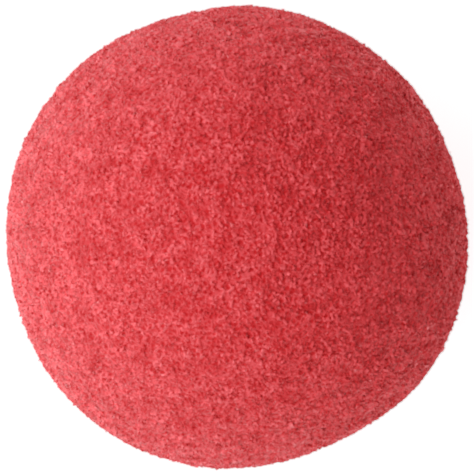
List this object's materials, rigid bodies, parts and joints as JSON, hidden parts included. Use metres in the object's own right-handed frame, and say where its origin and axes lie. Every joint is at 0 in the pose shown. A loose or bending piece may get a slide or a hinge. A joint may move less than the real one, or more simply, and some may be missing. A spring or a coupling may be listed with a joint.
{
  "type": "foam clown nose",
  "caption": "Round soft foam ball, trimmed flat at the back, with a blind round hollow that the tip of the wearer's nose goes into.",
  "frame": {"origin": "centre of the hollow's mouth, in the plane of the flat back, which the nose stands on", "axes": "+Z away from the wearer's face, along the hollow and through the front of the ball; +X to the right and +Y up for someone who faces the wearer"},
  "size_m": [0.0499, 0.0499, 0.0466],
  "materials": {
    "foam_ball": "matt open-cell foam, cut surface with fine open pores"
  },
  "bodies": {
    "root": {"foam_ball": "foam_ball"}
  },
  "joints": []
}
